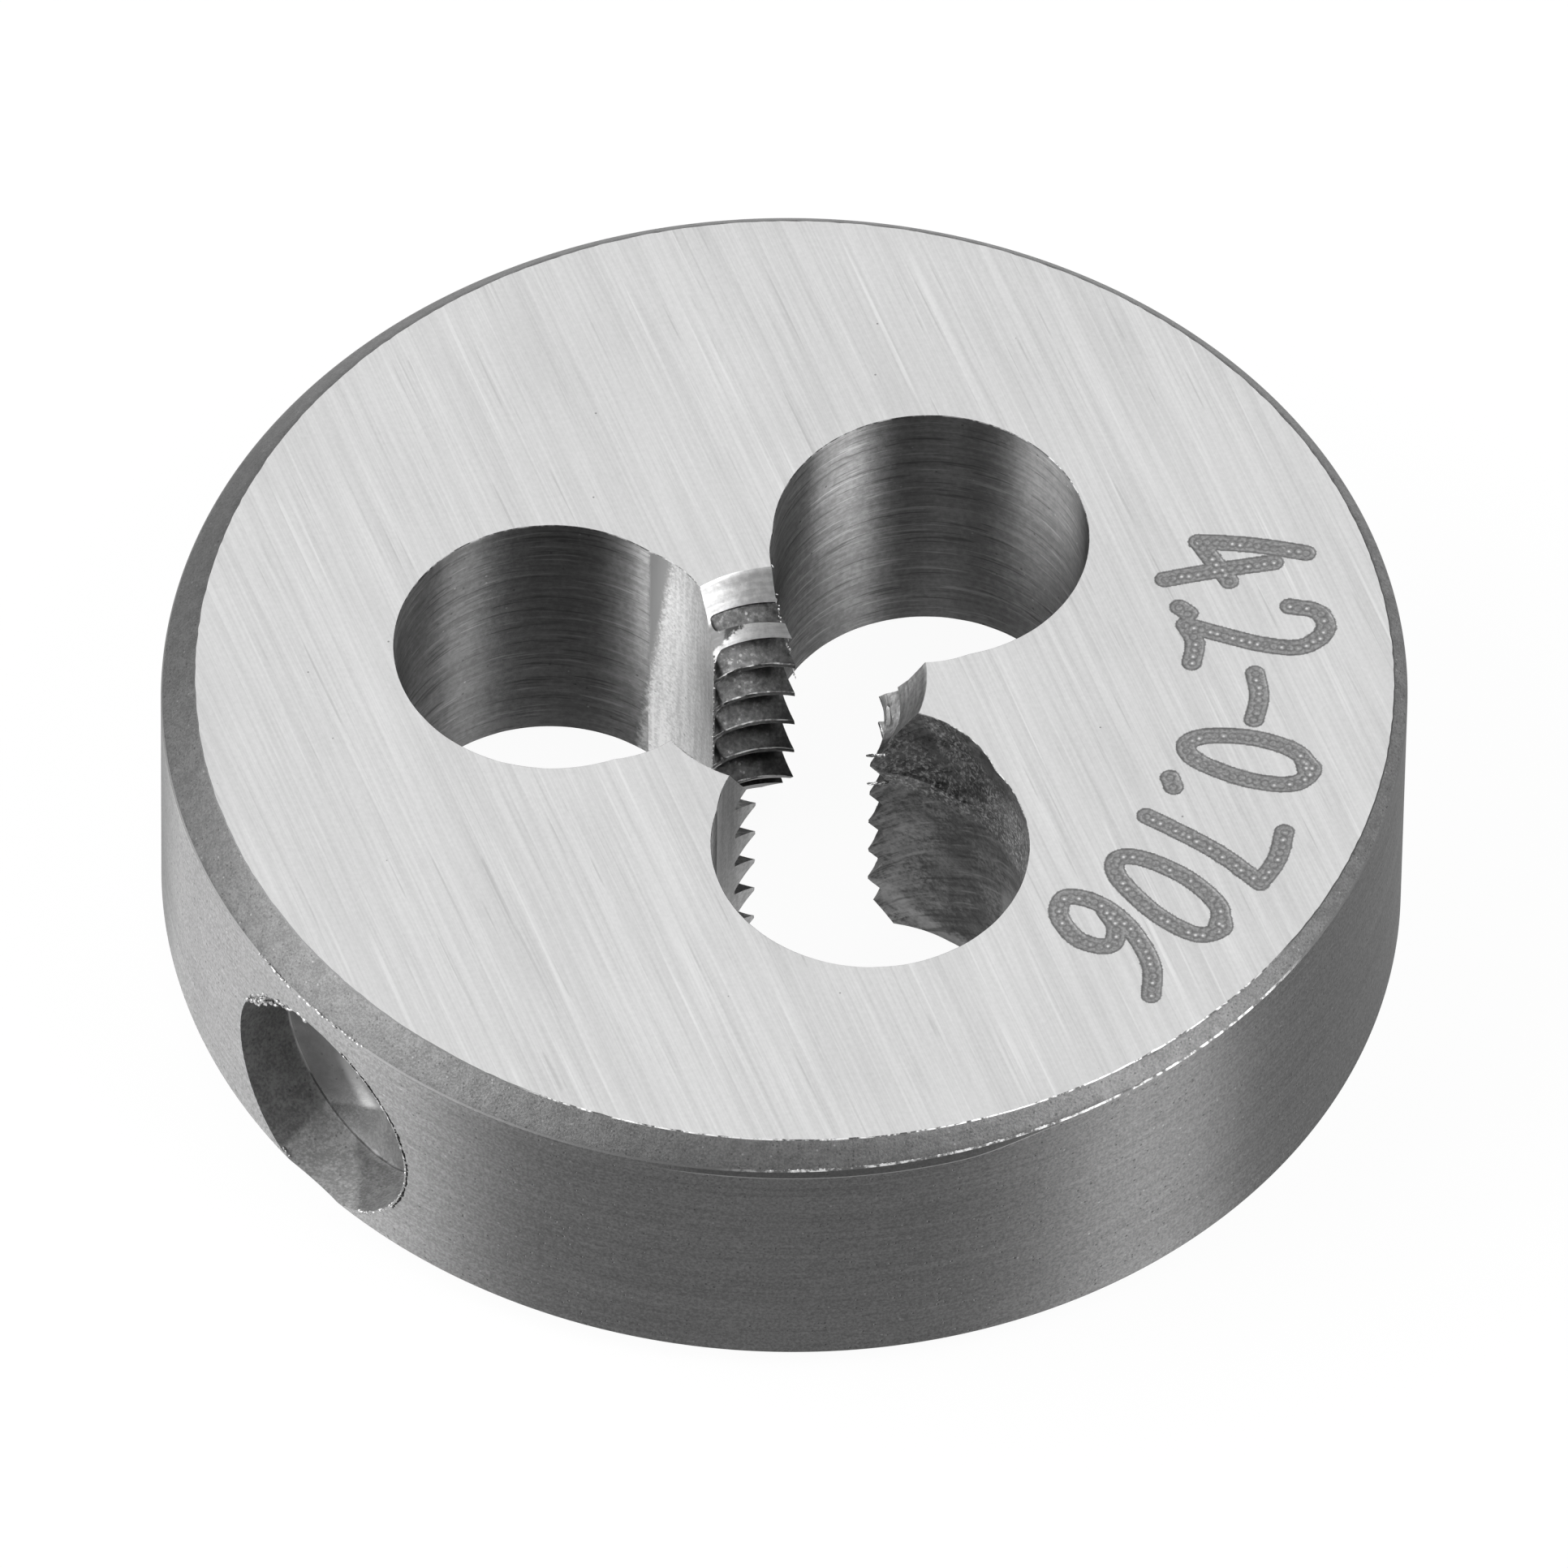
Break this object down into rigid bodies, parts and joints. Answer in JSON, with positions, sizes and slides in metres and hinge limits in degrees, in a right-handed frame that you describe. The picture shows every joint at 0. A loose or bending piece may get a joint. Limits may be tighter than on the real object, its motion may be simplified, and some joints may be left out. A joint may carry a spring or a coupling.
{
  "type": "round threading die",
  "caption": "Solid round threading die: a hardened steel disc with a threaded centre opening, chip holes, cutting lands with lead-in cones, chamfered edges and a blind hole in its rim.",
  "frame": {"origin": "on the thread's axis, at the middle of the unmarked face, which is the face it rests on", "axes": "+Z along the thread's axis from the unmarked face to the marked face; +X towards the marked face's lettering place, with the blind hole in the rim in the third quarter between -X and -Y"},
  "size_m": [0.02, 0.02, 0.0053],
  "materials": {
    "tool_steel": "ground faces, blasted chamfers, turned rim and dark drilled holes"
  },
  "bodies": {
    "root": {"round_die": "tool_steel"}
  },
  "joints": []
}
